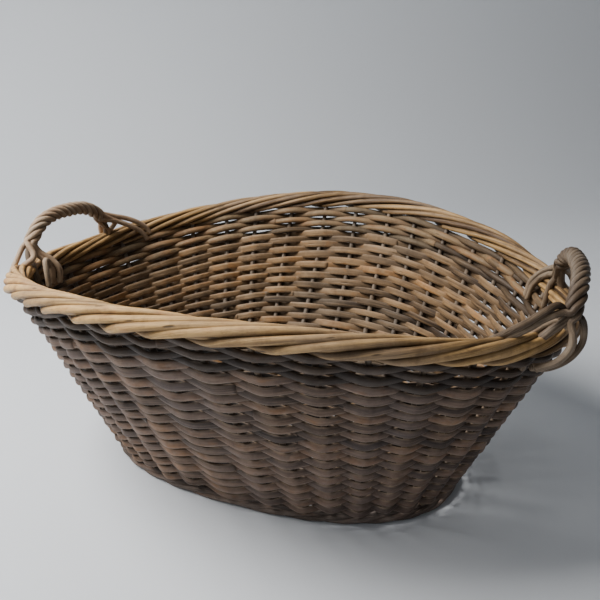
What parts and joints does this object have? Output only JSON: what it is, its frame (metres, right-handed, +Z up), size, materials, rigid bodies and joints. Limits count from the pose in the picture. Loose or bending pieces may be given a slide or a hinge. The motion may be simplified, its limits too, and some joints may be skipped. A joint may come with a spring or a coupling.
{
  "type": "winnowing basket",
  "caption": "Large oval open basket of woven split willow with a band of round rods at the top, a roped border, a woven oval base and a roped arch handle at each end.",
  "frame": {"origin": "middle of the base, on the floor it stands on", "axes": "+X along the long axis, through both handles; +Y across the width; +Z up"},
  "size_m": [0.6738, 0.5484, 0.2907],
  "materials": {
    "split_willow": "dry, weathered grey-brown split willow, matt",
    "round_willow": "round unpeeled willow rods, dark and dull",
    "border_willow": "round willow rods polished by handling, soft sheen",
    "handle_willow": "round willow rods, handled, low sheen",
    "stake_willow": "round willow rods, matt",
    "foot_willow": "round willow rods, scuffed and dark",
    "base_willow": "round willow rods, matt, dusty"
  },
  "bodies": {
    "root": {"foot_ring": "foot_willow", "base_cross_sticks": "base_willow", "base_long_sticks": "base_willow", "base_weaving": "base_willow", "side_stakes": "stake_willow", "split_row_01": "split_willow", "split_row_02": "split_willow", "split_row_03": "split_willow", "split_row_04": "split_willow", "split_row_05": "split_willow", "split_row_06": "split_willow", "split_row_07": "split_willow", "split_row_08": "split_willow", "split_row_09": "split_willow", "split_row_10": "split_willow", "split_row_11": "split_willow", "split_row_12": "split_willow", "split_row_13": "split_willow", "split_row_14": "split_willow", "split_row_15": "split_willow", "split_row_16": "split_willow", "split_row_17": "split_willow", "split_row_18": "split_willow", "split_row_19": "split_willow", "split_row_20": "split_willow", "split_row_21": "split_willow", "split_row_22": "split_willow", "split_row_23": "split_willow", "split_row_24": "split_willow", "split_row_25": "split_willow", "split_row_26": "split_willow", "split_row_27": "split_willow", "split_row_28": "split_willow", "split_row_29": "split_willow", "split_row_30": "split_willow", "split_row_31": "split_willow", "rod_row_1": "round_willow", "rod_row_2": "round_willow", "rod_row_3": "round_willow", "rod_row_4": "round_willow", "rod_row_5": "round_willow", "border_core": "border_willow", "border_rods": "border_willow", "left_handle_bow": "handle_willow", "left_handle_strands": "handle_willow", "left_handle_tie": "handle_willow", "right_handle_bow": "handle_willow", "right_handle_strands": "handle_willow", "right_handle_tie": "handle_willow"}
  },
  "joints": []
}
